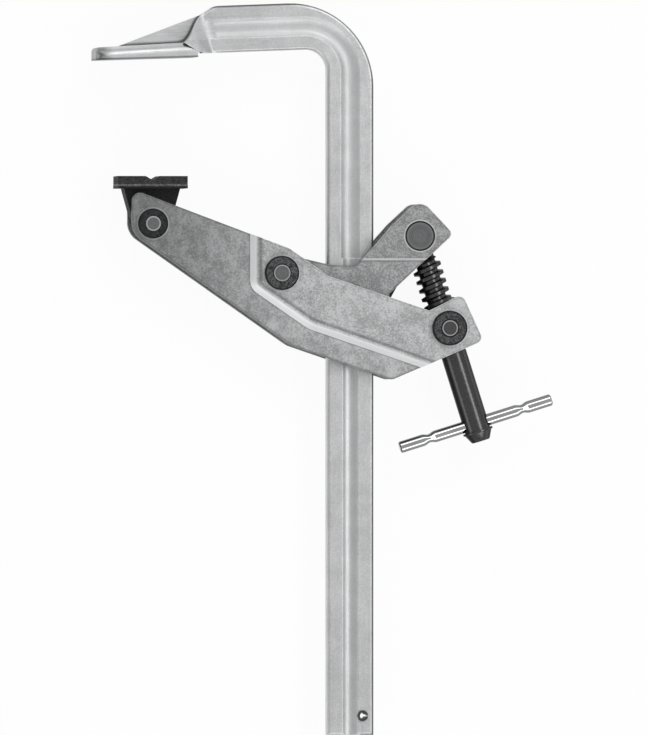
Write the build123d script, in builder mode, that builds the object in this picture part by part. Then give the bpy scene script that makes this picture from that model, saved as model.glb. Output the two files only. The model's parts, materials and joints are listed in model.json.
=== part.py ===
"""Claw clamp: a forged rail with a claw, and a slider whose lever arm is driven by a screw.

The clamp lies on its side. X runs from the throat to the rail and the screw, Y runs along the
rail towards the claw, and Z is the thickness. The origin is on the claw's clamping face, right
over the middle of the swivel pad. All sizes are in millimetres.
"""
import math
import os

from build123d import *

os.makedirs("parts", exist_ok=True)

# Main sizes of the clamp
throat_depth = 119.0
jaw_opening = 79.0
rail_width = 31.5
rail_thickness = 12.0
rail_length_below_claw = 455.0

# Bent head of the rail
head_tilt = 2.2
head_underside_height = 6.9
head_outer_radius = 56.0
head_inner_radius = 14.0
head_from_claw = 3.7
head_nose_drop = 5.6
head_nose_run = 9.0
rail_edge_radius = 2.0
bar_groove = (10.4, 1.6)
forged_groove = (13.0, 2.2)
forged_groove_above_pivot = 10.0
groove_bend_radius = 31.0

# Claw
claw_reach = 38.5
claw_back = 30.0
claw_depth = 40.0
claw_tilt = 1.8
claw_tip_height = 7.2
claw_root_height = 10.6
claw_root_from_back = 9.5
claw_corner_radius = 7.0
claw_lip_radius = 2.5
claw_step_height = 4.6
flank_length = 11.0
flank_waist_run = 3.8
flank_waist_rise = 3.2
flank_waist_thickness = 33.0
flank_fade_run = 6.0
flank_fade = 0.5
fin_thickness = 7.0
fin_start = 25.0

# Slotted spring pin that stops the slider near the rail's end
stop_pin_diameter = 6.8
stop_pin_wall = 1.3
stop_pin_slit = 1.4
stop_pin_length = 17.0
stop_pin_above_end = 13.0
stop_pin_from_back = 7.5

# Clearances
running_gap = 0.15
fixed_gap = 0.05
side_gap = 0.35
guide_gap = 0.3

# Sheet thickness, and the places of the pivots
sheet = 4.5
cheek_inner = 10.5
pad_height = 31.9
pivot_to_rail = 32.5
pivot_drop = 33.2
seat_to_rail = 30.2
seat_rise = 25.0
nut_from_pivot = 113.7
nut_drop = 37.0

# Pins, washers and trunnions
pivot_pin_diameter = 14.0
pivot_washer_diameter = 23.0
pivot_spigot_diameter = 11.0
pad_pin_diameter = 12.0
pad_washer_diameter = 20.0
pad_spigot_diameter = 10.0
washer_thickness = 3.0
spigot_stand = 0.3
spacer_diameter = 20.0
rivet_diameter = 8.0
seat_diameter = 27.0
seat_journal_diameter = 20.0
nut_diameter = 28.0
nut_journal_diameter = 16.0
nut_spigot_diameter = 10.4
nut_washer_diameter = 23.4

# Outline of the slider's cheeks
lobe_radius = 13.0
cheek_neck_from_pivot = 73.5
cheek_foot_below_pivot = 30.4
cheek_crease_below_seat = 16.4
block_grip = 6.0

# Pressed steps in the sheet
arm_step_run = 5.3
arm_bend_radius = 9.0
head_step = 1.5
head_step_run = 1.3

# Screw spindle, measured along its axis from the seat
thread_diameter = 20.0
thread_clearance = 0.8
thread_start = 15.5
thread_length = 66.5
thread_runout = 1.2
tip_diameter = 14.0
tip_reach = 6.0
snap_ring_place = 3.0
snap_ring_width = 1.6
snap_ring_bite = 1.5
shank_diameter = 17.6
bar_place = 132.4
flange_diameter = 20.6
flange_thickness = 1.5
end_cone_length = 6.0
end_cone_diameter = 19.0
end_face_diameter = 12.0

# Tommy bar
bar_diameter = 8.0
bar_length = 108.0
bar_hole_gap = 0.25
bar_hole_wall = 0.5
crimp_place = 33.0
crimp_length = 8.0
crimp_narrow = 5.8
crimp_wide = 9.4
crimp_web = 3.0
bar_end_chamfer = 0.8

# Swivel pad
pad_width = 47.0
pad_depth = 32.0
pad_plate_thickness = 8.3
pad_flange_thickness = 1.7
pad_rim = 0.9
pad_groove_width = 9.6
pad_groove_depth = 2.9
pad_groove_radius = 1.2
pad_neck_width = 38.0
pad_boss_diameter = 24.0

# Places that follow from the sizes
rail_front = throat_depth
rail_back = throat_depth + rail_width
rail_half = rail_thickness / 2
rail_low = -rail_length_below_claw
pad_pin_place = (0.0, -jaw_opening - pad_height)
pivot = (rail_front - pivot_to_rail, pad_pin_place[1] - pivot_drop)
seat = (rail_back + seat_to_rail, pivot[1] + seat_rise)
nut_centre = (pivot[0] + nut_from_pivot, pivot[1] - nut_drop)
seat_to_nut = math.dist(seat, nut_centre)
spindle_dir = ((nut_centre[0] - seat[0]) / seat_to_nut, (nut_centre[1] - seat[1]) / seat_to_nut)
bar_dir = (-spindle_dir[1], spindle_dir[0])

# Heights of the layers above the middle plane
cheek_outer = cheek_inner + sheet
head_inner = cheek_inner + head_step
head_outer = head_inner + sheet
arm_step = cheek_outer + side_gap - cheek_inner
arm_inner = cheek_inner + arm_step
arm_outer = arm_inner + sheet
block_half = cheek_inner - fixed_gap
far = 100.0

spindle_plane = Plane(
    origin=(seat[0], seat[1], 0),
    x_dir=(spindle_dir[0], spindle_dir[1], 0),
    z_dir=(0, 0, 1),
)
spindle_axis = Axis((seat[0], seat[1], 0), (spindle_dir[0], spindle_dir[1], 0))
bar_plane = Plane(
    origin=spindle_plane.from_local_coords((bar_place, 0, 0)),
    x_dir=(0, 0, 1),
    z_dir=(bar_dir[0], bar_dir[1], 0),
)


def at(point, right, up):
    """A point given by its distances to the right of and above another."""
    return (point[0] + right, point[1] + up)


def nearest(sketch, point):
    """The corner of a sketch that lies closest to a point of the side view."""
    return sketch.vertices().sort_by_distance((point[0], point[1], 0))[0]


def bar_along_z(low, high, radius, centre, mode=Mode.ADD):
    """A round bar along Z between two heights, at a place in the side view."""
    with Locations((centre[0], centre[1], low)):
        Cylinder(radius, high - low, align=(Align.CENTER, Align.CENTER, Align.MIN), mode=mode)


def bore_along_z(diameter, centre):
    """A bore along Z, right through the piece that is being made."""
    bar_along_z(-claw_depth, claw_depth, diameter / 2, centre, Mode.SUBTRACT)


def slice_across(start, end, thickness):
    """A rectangle across the thickness, through two points of the side view."""
    middle = ((start[0] + end[0]) / 2, (start[1] + end[1]) / 2, 0)
    across = (end[1] - start[1], start[0] - end[0], 0)
    with BuildSketch(Plane(origin=middle, x_dir=(0, 0, 1), z_dir=across)) as cut:
        Rectangle(thickness, math.dist(start, end))
    return cut.sketch


# Rail: a straight bar with a bent head, forged with a groove in both wide faces
head_slope = math.tan(math.radians(head_tilt))
head_height = rail_width / math.cos(math.radians(head_tilt))
head_end = claw_back + head_from_claw


def underside_y(x):
    """Height of the head's underside, which rises towards the rail."""
    return head_underside_height - (rail_front - x) * head_slope


top_corner = (rail_back, underside_y(rail_back) + head_height)
inner_corner = (rail_front, underside_y(rail_front))
nose_start = head_end + head_nose_run
nose_top = (nose_start, underside_y(nose_start) + head_height)
nose_low = (head_end, underside_y(head_end) + head_height - head_nose_drop)
claw_slope = math.tan(math.radians(claw_tilt))
claw_root_top = (claw_back - claw_root_from_back, claw_root_height)
claw_heel = (claw_back, claw_step_height)
stop_pin_place = (rail_back - stop_pin_from_back, rail_low + stop_pin_above_end)

with BuildPart() as rail:
    with BuildSketch(Plane.XY.offset(-rail_half)) as rail_side:
        with BuildLine():
            Polyline(
                (rail_front, rail_low),
                (rail_back, rail_low),
                top_corner,
                nose_top,
                nose_low,
                (head_end, underside_y(head_end)),
                inner_corner,
                close=True,
            )
        make_face()
        fillet(nearest(rail_side, top_corner), head_outer_radius)
        fillet(nearest(rail_side, inner_corner), head_inner_radius)
        fillet(nearest(rail_side, nose_top), head_nose_run)
    extrude(amount=rail_thickness)
    fillet(rail.edges().group_by(Axis.Z)[0] + rail.edges().group_by(Axis.Z)[-1], rail_edge_radius)

    # Groove along the middle of each wide face, round the bend, forged wider above the slider
    groove_x = rail_front + rail_width / 2
    groove_corner = (groove_x, underside_y(groove_x) + head_height / 2)
    groove_end = (head_end, underside_y(head_end) + head_height / 2)
    forged_from = pivot[1] + forged_groove_above_pivot
    for start, (width, depth) in ((rail_low, bar_groove), (forged_from, forged_groove)):
        groove_radius = ((width / 2) ** 2 + depth**2) / (2 * depth)
        with BuildLine() as groove_path:
            FilletPolyline(
                (groove_x, start), groove_corner, groove_end, radius=groove_bend_radius
            )
        for side in (1, -1):
            with BuildSketch(Plane.XZ.offset(-start)):
                with Locations((groove_x, side * (rail_half - depth + groove_radius))):
                    Circle(groove_radius)
            sweep(path=groove_path.wires()[0], mode=Mode.SUBTRACT)

    # Claw plate: its flat underside is the fixed clamping face, and leans with the head
    with BuildSketch(Plane.XY.offset(-claw_depth / 2)) as claw_side:
        with BuildLine():
            Polyline(
                (-claw_reach, -claw_reach * claw_slope),
                (claw_back, claw_back * claw_slope),
                claw_heel,
                claw_root_top,
                (-claw_reach, claw_tip_height),
                close=True,
            )
        make_face()
        fillet(nearest(claw_side, (-claw_reach, claw_tip_height)), claw_lip_radius)
    extrude(amount=claw_depth)
    fillet(rail.edges().filter_by(Axis.Y).group_by(Axis.X)[0], claw_corner_radius)

    # Flanks that draw the wide plate in to the head
    flank_end = (claw_back + flank_length, underside_y(claw_back + flank_length))
    waist_top = at(claw_root_top, flank_waist_run, flank_waist_rise)
    waist_low = at(claw_heel, flank_waist_run, 0)
    fade_top = at(nose_low, flank_fade_run, head_nose_drop / 3)
    fade_low = at(flank_end, flank_fade_run, flank_fade)
    plate_slice = slice_across(claw_root_top, claw_heel, claw_depth)
    waist_slice = slice_across(waist_top, waist_low, flank_waist_thickness)
    head_slice = slice_across(nose_low, flank_end, rail_thickness + flank_fade)
    fade_slice = slice_across(fade_top, fade_low, rail_thickness - flank_fade)
    loft([plate_slice, waist_slice, head_slice, fade_slice])

    # Stiffening fin that runs out along the plate
    with BuildSketch(Plane.XY.offset(-fin_thickness / 2)):
        with BuildLine():
            Polyline(
                (-fin_start, claw_tip_height),
                nose_low,
                (flank_end[0], nose_low[1]),
                (flank_end[0], claw_step_height),
                (0, claw_step_height),
                close=True,
            )
        make_face()
    extrude(amount=fin_thickness)
    bore_along_z(stop_pin_diameter + 2 * fixed_gap, stop_pin_place)

with BuildPart() as stop_pin:
    stop_pin_radius = stop_pin_diameter / 2
    bar_along_z(-stop_pin_length / 2, stop_pin_length / 2, stop_pin_radius, stop_pin_place)
    bore_along_z(stop_pin_diameter - 2 * stop_pin_wall, stop_pin_place)
    with Locations(at(stop_pin_place, stop_pin_radius / 2, 0)):
        Box(stop_pin_radius, stop_pin_slit, stop_pin_length, mode=Mode.SUBTRACT)


# Slider: two cheeks, each with a raised head for the screw's seat
def tangent_from(point, centre, radius, side):
    """Where a line from a point touches a circle, on its left (1) or its right (-1)."""
    bearing = math.atan2(point[1] - centre[1], point[0] - centre[0])
    turn = bearing + side * math.acos(radius / math.dist(point, centre))
    return at(centre, radius * math.cos(turn), radius * math.sin(turn))


crease_y = seat[1] - cheek_crease_below_seat
cheek_top = at(pivot, 34.0, 5.4)
cheek_saddle = at(pivot, 51.0, 4.8)
cheek_hip = at(seat, -18.5, 7.7)
cheek_peak = at(seat, 0.3, 24.9)
cheek_corner = at(seat, 22.6, 1.3)
cheek_neck = at(pivot, cheek_neck_from_pivot, -13.9)
cheek_foot = at(pivot, cheek_neck_from_pivot, -cheek_foot_below_pivot)
cheek_sole = at(pivot, 62.5, -cheek_foot_below_pivot)
cheek_heel = at(pivot, 31.5, 4.1 - cheek_foot_below_pivot)
front_rivet_place = at(pivot, 25.0, -13.5)
rear_rivet_place = at(pivot, 69.5, -22.5)

with BuildPart() as cheek_front:
    # Right of the saddle the sheet steps outwards above the crease
    with BuildSketch(Plane.XY.offset(cheek_inner)):
        with Locations(cheek_saddle):
            Rectangle(far, far, align=(Align.MAX, Align.CENTER))
    extrude(amount=sheet)
    with BuildSketch(Plane.YZ.offset(cheek_saddle[0])):
        with BuildLine():
            Polyline(
                (crease_y - far, cheek_inner),
                (crease_y - far, cheek_outer),
                (crease_y, cheek_outer),
                (crease_y + head_step_run, head_outer),
                (crease_y + far, head_outer),
                (crease_y + far, head_inner),
                (crease_y + head_step_run, head_inner),
                (crease_y, cheek_inner),
                close=True,
            )
        make_face()
    extrude(amount=far)
    with BuildSketch(Plane.XY.offset(cheek_inner)) as cheek_side:
        with BuildLine():
            Polyline(
                tangent_from(cheek_top, pivot, lobe_radius, 1),
                pivot,
                tangent_from(cheek_heel, pivot, lobe_radius, -1),
                cheek_heel,
                cheek_sole,
                cheek_foot,
                cheek_neck,
                cheek_corner,
                cheek_peak,
                cheek_hip,
                cheek_saddle,
                cheek_top,
                close=True,
            )
        make_face()
        for corner, radius in (
            (cheek_top, 8), (cheek_saddle, 8), (cheek_hip, 30), (cheek_peak, 8.5),
            (cheek_corner, 4), (cheek_foot, 5), (cheek_sole, 12), (cheek_heel, 12),
        ):
            fillet(nearest(cheek_side, corner), radius)
        with Locations(pivot):
            Circle(lobe_radius)
    extrude(amount=sheet + head_step, mode=Mode.INTERSECT)
    bore_along_z(pivot_pin_diameter + 2 * running_gap, pivot)
    bore_along_z(seat_journal_diameter + 2 * running_gap, seat)
    for place in (front_rivet_place, rear_rivet_place):
        bore_along_z(rivet_diameter + 2 * fixed_gap, place)

with BuildPart() as cheek_back:
    mirror(cheek_front.part, about=Plane.XY)

# Blocks between the cheeks, each with a slot that straddles an edge of the rail
front_block_left = rail_front - 14.0
front_block_right = rail_front + block_grip
block_slot = rail_thickness + 2 * guide_gap

with BuildPart() as front_block:
    with BuildSketch(Plane.XY.offset(-block_half)) as front_block_side:
        with BuildLine():
            Polyline(
                (front_block_left, pivot[1] - 6.0),
                (front_block_right, pivot[1] - 6.0),
                (front_block_right, pivot[1] - 25.0),
                (rail_front, pivot[1] - 25.0),
                (front_block_left, pivot[1] - 20.0),
                close=True,
            )
        make_face()
        fillet(nearest(front_block_side, (front_block_left, pivot[1] - 6.0)), 3)
    extrude(amount=2 * block_half)
    with Locations((rail_front - guide_gap, pivot[1], 0)):
        Box(far, far, block_slot, align=(Align.MIN, Align.CENTER, Align.CENTER),
            mode=Mode.SUBTRACT)
    bore_along_z(rivet_diameter + 2 * fixed_gap, front_rivet_place)

with BuildPart() as rear_block:
    with BuildSketch(Plane.XY.offset(-block_half)):
        with BuildLine():
            Polyline(
                (rail_back - block_grip, pivot[1] + 3.0),
                (rail_back + 7.5, pivot[1] + 3.0),
                (rail_back + 15.2, pivot[1] - 9.0),
                (rail_back + 10.8, pivot[1] - 17.0),
                (rail_back + 9.0, pivot[1] + 0.5 - cheek_foot_below_pivot),
                (rail_back - block_grip, pivot[1] + 0.5 - cheek_foot_below_pivot),
                close=True,
            )
        make_face()
    extrude(amount=2 * block_half)
    with Locations((rail_back + guide_gap, pivot[1], 0)):
        Box(far, far, block_slot, align=(Align.MAX, Align.CENTER, Align.CENTER),
            mode=Mode.SUBTRACT)
    bore_along_z(rivet_diameter + 2 * fixed_gap, rear_rivet_place)


def flush_rivet(place):
    """A rivet through both cheeks and a block, ground flush."""
    with BuildPart() as rivet:
        bar_along_z(-cheek_outer, cheek_outer, rivet_diameter / 2, place)
    return rivet.part


with BuildPart() as pivot_spacer:
    bar_along_z(-block_half, block_half, spacer_diameter / 2, pivot)
    bore_along_z(pivot_pin_diameter + 2 * running_gap, pivot)

# Arm: two pressed plates that step outwards over the slider
arm_end_top = at(pad_pin_place, -14.2, 23.2)
arm_end_low = at(pad_pin_place, -14.2, -6.5)
arm_belly = at(pivot, 7.1, -48.7)
arm_tail_low = at(nut_centre, -38.5, -34.9)
arm_tail_right = at(nut_centre, 23.0, -8.4)
arm_tail_top = at(nut_centre, 8.7, 22.8)
arm_notch = at(nut_centre, -13.7, 11.8)
arm_shoulder = at(pivot, 32.0, -2.1)
arm_crown = at(pivot, 5.5, 16.4)
step_left = pivot[0] - 15.5
step_corner = (step_left, pivot[1] - 7.5)
step_bend = at(pivot, 20.8, -32.6)
step_far = at(nut_centre, far, -61.3)


def raised_area(grown):
    """The raised part of the arm's plate, seen from the side and grown on all sides."""
    with BuildSketch() as area:
        with BuildLine():
            Polyline(
                (step_left, nut_centre[1] + 2 * far),
                step_corner,
                step_bend,
                step_far,
                at(nut_centre, far, 2 * far),
                close=True,
            )
        make_face()
        fillet(nearest(area, step_corner), 5)
        fillet(nearest(area, step_bend), 14)
        offset(amount=grown, kind=Kind.INTERSECTION)
    return area.sketch


step_angle = math.atan2(arm_step, arm_step_run)
step_taper = 90 - math.degrees(step_angle)
hollow_shift = sheet * math.tan(step_angle / 2)

with BuildPart() as arm_plate_front:
    with BuildSketch(Plane.XY.offset(cheek_inner)):
        with Locations(at(pivot, 20, 0)):
            Rectangle(3 * far, 2 * far)
    extrude(amount=sheet)
    with BuildSketch(Plane.XY.offset(cheek_outer)):
        add(raised_area(arm_step_run))
    extrude(amount=arm_step, taper=step_taper)
    raised_rim = arm_plate_front.faces().sort_by(Axis.Z)[-1].edges()
    fillet(raised_rim, arm_bend_radius)
    # Hollow under the step
    with BuildSketch(Plane.XY.offset(cheek_inner)):
        add(raised_area(arm_step_run - hollow_shift))
    extrude(amount=arm_step, taper=step_taper, mode=Mode.SUBTRACT)
    # The pressing is cut to its outline
    with BuildSketch(Plane.XY.offset(cheek_inner)) as arm_side:
        with BuildLine():
            Polyline(
                arm_end_top, arm_end_low, arm_belly, arm_tail_low, arm_tail_right,
                arm_tail_top, arm_notch, arm_shoulder, arm_crown, close=True,
            )
        make_face()
        for corner, radius in (
            (arm_end_top, 5.5), (arm_end_low, 14), (arm_belly, 18), (arm_tail_low, 6),
            (arm_tail_right, 4.5), (arm_tail_top, 4.5), (arm_notch, 1.5),
            (arm_shoulder, 12), (arm_crown, 20),
        ):
            fillet(nearest(arm_side, corner), radius)
    extrude(amount=sheet + arm_step, mode=Mode.INTERSECT)
    bore_along_z(pivot_pin_diameter + 2 * fixed_gap, pivot)
    bore_along_z(pad_pin_diameter + 2 * fixed_gap, pad_pin_place)
    bore_along_z(nut_journal_diameter + 2 * running_gap, nut_centre)

with BuildPart() as arm_plate_back:
    mirror(arm_plate_front.part, about=Plane.XY)


def riveted_pin(half_length, diameter, spigot_diameter, place):
    """A pin whose thinner ends pass through a washer on each side and are riveted over."""
    end = half_length + washer_thickness + spigot_stand
    with BuildPart() as pin:
        bar_along_z(-half_length, half_length, diameter / 2, place)
        bar_along_z(-end, end, spigot_diameter / 2, place)
    return pin.part


def washer(low, diameter, hole_diameter, place):
    """A washer that lies at a height above the middle plane."""
    with BuildPart() as ring:
        bar_along_z(low, low + washer_thickness, diameter / 2, place)
        bore_along_z(hole_diameter + 2 * fixed_gap, place)
    return ring.part


# Seat at the top of the screw: a cross pin with a socket for the spindle's tip
seat_half = head_inner - guide_gap
tip_radius = tip_diameter / 2
ring_groove_inner = tip_radius - snap_ring_bite
ring_groove_outer = tip_radius + snap_ring_bite

with BuildPart() as screw_seat:
    bar_along_z(-seat_half, seat_half, seat_diameter / 2, seat)
    bar_along_z(-head_outer, head_outer, seat_journal_diameter / 2, seat)
    with BuildSketch(spindle_plane):
        with BuildLine():
            Polyline(
                (-tip_reach - running_gap, 0),
                (-tip_reach - running_gap, tip_radius + running_gap),
                (seat_diameter, tip_radius + running_gap),
                (seat_diameter, 0),
                close=True,
            )
        make_face()
        with Locations((snap_ring_place, ring_groove_outer / 2)):
            Rectangle(snap_ring_width + 2 * fixed_gap, ring_groove_outer)
    revolve(axis=spindle_axis, mode=Mode.SUBTRACT)

# Split ring that holds the spindle's tip in the seat
with BuildPart() as snap_ring:
    ring_inner = ring_groove_inner + running_gap
    ring_outer = ring_groove_outer - fixed_gap
    with BuildSketch(spindle_plane):
        with Locations((snap_ring_place, (ring_inner + ring_outer) / 2)):
            Rectangle(snap_ring_width, ring_outer - ring_inner)
    revolve(axis=spindle_axis)
    with BuildSketch(spindle_plane):
        with Locations((snap_ring_place, ring_outer / 2)):
            Rectangle(2 * snap_ring_width, ring_outer)
    extrude(amount=snap_ring_width / 2, both=True, mode=Mode.SUBTRACT)

# Nut at the arm's tail: a cross pin with a threaded hole
nut_half = arm_inner - guide_gap
nut_journal_end = arm_outer + fixed_gap
nut_spigot_end = nut_journal_end + washer_thickness + spigot_stand

with BuildPart() as trunnion_nut:
    bar_along_z(-nut_half, nut_half, nut_diameter / 2, nut_centre)
    bar_along_z(-nut_journal_end, nut_journal_end, nut_journal_diameter / 2, nut_centre)
    bar_along_z(-nut_spigot_end, nut_spigot_end, nut_spigot_diameter / 2, nut_centre)
    with BuildSketch(spindle_plane):
        with Locations((seat_to_nut, (thread_diameter / 2 + thread_clearance) / 2)):
            Rectangle(2 * nut_diameter, thread_diameter / 2 + thread_clearance)
    revolve(axis=spindle_axis, mode=Mode.SUBTRACT)

# Spindle: tip, thread, plain shank with a cross hole, and an upset end
thread_end = thread_start + thread_length
flange_place = bar_place + bar_diameter / 2 + bar_hole_gap + bar_hole_wall
cone_start = flange_place + flange_thickness
ring_groove_low = snap_ring_place - snap_ring_width / 2 - running_gap
ring_groove_high = snap_ring_place + snap_ring_width / 2 + running_gap
thread_lead_in = (thread_diameter - tip_diameter) / 2

with BuildPart() as spindle:
    with BuildSketch(spindle_plane):
        with BuildLine():
            Polyline(
                (-tip_reach, 0),
                (-tip_reach, tip_radius - 1.0),
                (1.0 - tip_reach, tip_radius),
                (ring_groove_low, tip_radius),
                (ring_groove_low, ring_groove_inner),
                (ring_groove_high, ring_groove_inner),
                (ring_groove_high, tip_radius),
                (thread_start, tip_radius),
                (thread_start + thread_lead_in, thread_diameter / 2),
                (thread_end - thread_runout, thread_diameter / 2),
                (thread_end, shank_diameter / 2),
                (flange_place, shank_diameter / 2),
                (flange_place, flange_diameter / 2),
                (cone_start, flange_diameter / 2),
                (cone_start, end_cone_diameter / 2),
                (cone_start + end_cone_length, end_face_diameter / 2),
                (cone_start + end_cone_length, 0),
                close=True,
            )
        make_face()
    revolve(axis=spindle_axis)
    with BuildSketch(bar_plane):
        Circle(bar_diameter / 2 + bar_hole_gap)
    extrude(amount=flange_diameter, both=True, mode=Mode.SUBTRACT)

# Tommy bar: a round bar pinched near both ends, so that it can't leave the spindle
bar_half = bar_length / 2
bar_radius = bar_diameter / 2
bar_side_plane = Plane(
    origin=bar_plane.origin,
    x_dir=(bar_dir[0], bar_dir[1], 0),
    z_dir=(0, 0, 1),
)
bar_top_plane = Plane(
    origin=bar_plane.origin,
    x_dir=(bar_dir[0], bar_dir[1], 0),
    z_dir=(spindle_dir[0], spindle_dir[1], 0),
)

with BuildPart() as tommy_bar:
    with BuildSketch(bar_plane.offset(-bar_half)):
        Circle(bar_radius)
    extrude(amount=bar_length)
    bar_axis = Axis(bar_plane.origin, bar_plane.z_dir)
    bar_rims = tommy_bar.edges().filter_by(GeomType.CIRCLE).group_by(bar_axis)
    chamfer(bar_rims[0] + bar_rims[-1], bar_end_chamfer)
    # The tool's wedges press in from both sides, and the metal spreads the other way
    with BuildSketch(bar_side_plane):
        for crimp in (-crimp_place, crimp_place):
            for side in (1, -1):
                with BuildLine():
                    Polyline(
                        (crimp - crimp_length / 2, side * bar_radius),
                        (crimp, side * crimp_narrow / 2),
                        (crimp + crimp_length / 2, side * bar_radius),
                        (crimp, side * bar_diameter),
                        close=True,
                    )
                make_face()
    extrude(amount=bar_diameter, both=True, mode=Mode.SUBTRACT)
    with BuildSketch(bar_top_plane):
        for crimp in (-crimp_place, crimp_place):
            with BuildLine():
                Polyline(
                    (crimp - crimp_length / 2, 0),
                    (crimp, crimp_wide / 2),
                    (crimp + crimp_length / 2, 0),
                    (crimp, -crimp_wide / 2),
                    close=True,
                )
            make_face()
    extrude(amount=crimp_web / 2, both=True)

# Swivel pad: a grooved pressure plate on a neck that turns on the arm's end pin
plate_low = pad_height - pad_plate_thickness
flange_top = plate_low + pad_flange_thickness
neck_half = cheek_inner - guide_gap

with BuildPart() as swivel_pad:
    groove_bottom = at(pad_pin_place, 0, pad_height - pad_groove_depth)
    with BuildSketch(Plane.XY.offset(-pad_depth / 2)) as pad_side:
        with BuildLine():
            Polyline(
                at(pad_pin_place, -pad_width / 2, pad_height),
                at(pad_pin_place, -pad_groove_width / 2, pad_height),
                groove_bottom,
                at(pad_pin_place, pad_groove_width / 2, pad_height),
                at(pad_pin_place, pad_width / 2, pad_height),
                at(pad_pin_place, pad_width / 2, plate_low),
                at(pad_pin_place, -pad_width / 2, plate_low),
                close=True,
            )
        make_face()
        fillet(nearest(pad_side, groove_bottom), pad_groove_radius)
    extrude(amount=pad_depth)
    # The plate is a little narrower above its flange
    with BuildSketch(Plane.YZ.offset(-pad_width)):
        with BuildLine():
            flange_z = pad_depth / 2
            plate_z = flange_z - pad_rim
            Polyline(
                (pad_pin_place[1] + plate_low, flange_z),
                (pad_pin_place[1] + flange_top, flange_z),
                (pad_pin_place[1] + flange_top + pad_rim, plate_z),
                (pad_pin_place[1] + pad_height, plate_z),
                (pad_pin_place[1] + pad_height, -plate_z),
                (pad_pin_place[1] + flange_top + pad_rim, -plate_z),
                (pad_pin_place[1] + flange_top, -flange_z),
                (pad_pin_place[1] + plate_low, -flange_z),
                close=True,
            )
        make_face()
    extrude(amount=2 * pad_width, mode=Mode.INTERSECT)
    boss_radius = pad_boss_diameter / 2
    neck_left = at(pad_pin_place, -pad_neck_width / 2, plate_low)
    neck_right = at(pad_pin_place, pad_neck_width / 2, plate_low)
    with BuildSketch(Plane.XY.offset(-neck_half)):
        with BuildLine():
            Polyline(
                neck_left,
                neck_right,
                tangent_from(neck_right, pad_pin_place, boss_radius, -1),
                pad_pin_place,
                tangent_from(neck_left, pad_pin_place, boss_radius, 1),
                close=True,
            )
        make_face()
        with Locations(pad_pin_place):
            Circle(boss_radius)
    extrude(amount=2 * neck_half)
    bore_along_z(pad_pin_diameter + 2 * running_gap, pad_pin_place)

arm_pivot_washer = washer(arm_outer, pivot_washer_diameter, pivot_spigot_diameter, pivot)
pad_pin_washer = washer(cheek_outer, pad_washer_diameter, pad_spigot_diameter, pad_pin_place)
nut_washer = washer(nut_journal_end, nut_washer_diameter, nut_spigot_diameter, nut_centre)

pieces = {
    "rail": rail.part,
    "stop_pin": stop_pin.part,
    "cheek_front": cheek_front.part,
    "cheek_back": cheek_back.part,
    "front_block": front_block.part,
    "rear_block": rear_block.part,
    "front_rivet": flush_rivet(front_rivet_place),
    "rear_rivet": flush_rivet(rear_rivet_place),
    "pivot_spacer": pivot_spacer.part,
    "arm_plate_front": arm_plate_front.part,
    "arm_plate_back": arm_plate_back.part,
    "arm_pivot_pin": riveted_pin(arm_outer, pivot_pin_diameter, pivot_spigot_diameter, pivot),
    "arm_pivot_washer_front": arm_pivot_washer,
    "arm_pivot_washer_back": mirror(arm_pivot_washer, about=Plane.XY),
    "pad_pin": riveted_pin(cheek_outer, pad_pin_diameter, pad_spigot_diameter, pad_pin_place),
    "pad_pin_washer_front": pad_pin_washer,
    "pad_pin_washer_back": mirror(pad_pin_washer, about=Plane.XY),
    "screw_seat": screw_seat.part,
    "snap_ring": snap_ring.part,
    "trunnion_nut": trunnion_nut.part,
    "nut_washer_front": nut_washer,
    "nut_washer_back": mirror(nut_washer, about=Plane.XY),
    "spindle": spindle.part,
    "tommy_bar": tommy_bar.part,
    "swivel_pad": swivel_pad.part,
}
for name, piece in pieces.items():
    piece.label = name
    export_step(piece, f"parts/{name}.step")
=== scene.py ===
"""Looks of the claw clamp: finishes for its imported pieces, the screw's real thread, the crimped
tommy bar, and a pale studio floor under a camera that looks down on the clamp.

All sizes are in metres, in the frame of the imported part.
"""
import json
import math

import bmesh
import bpy
from mathutils import Matrix, Vector


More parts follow.
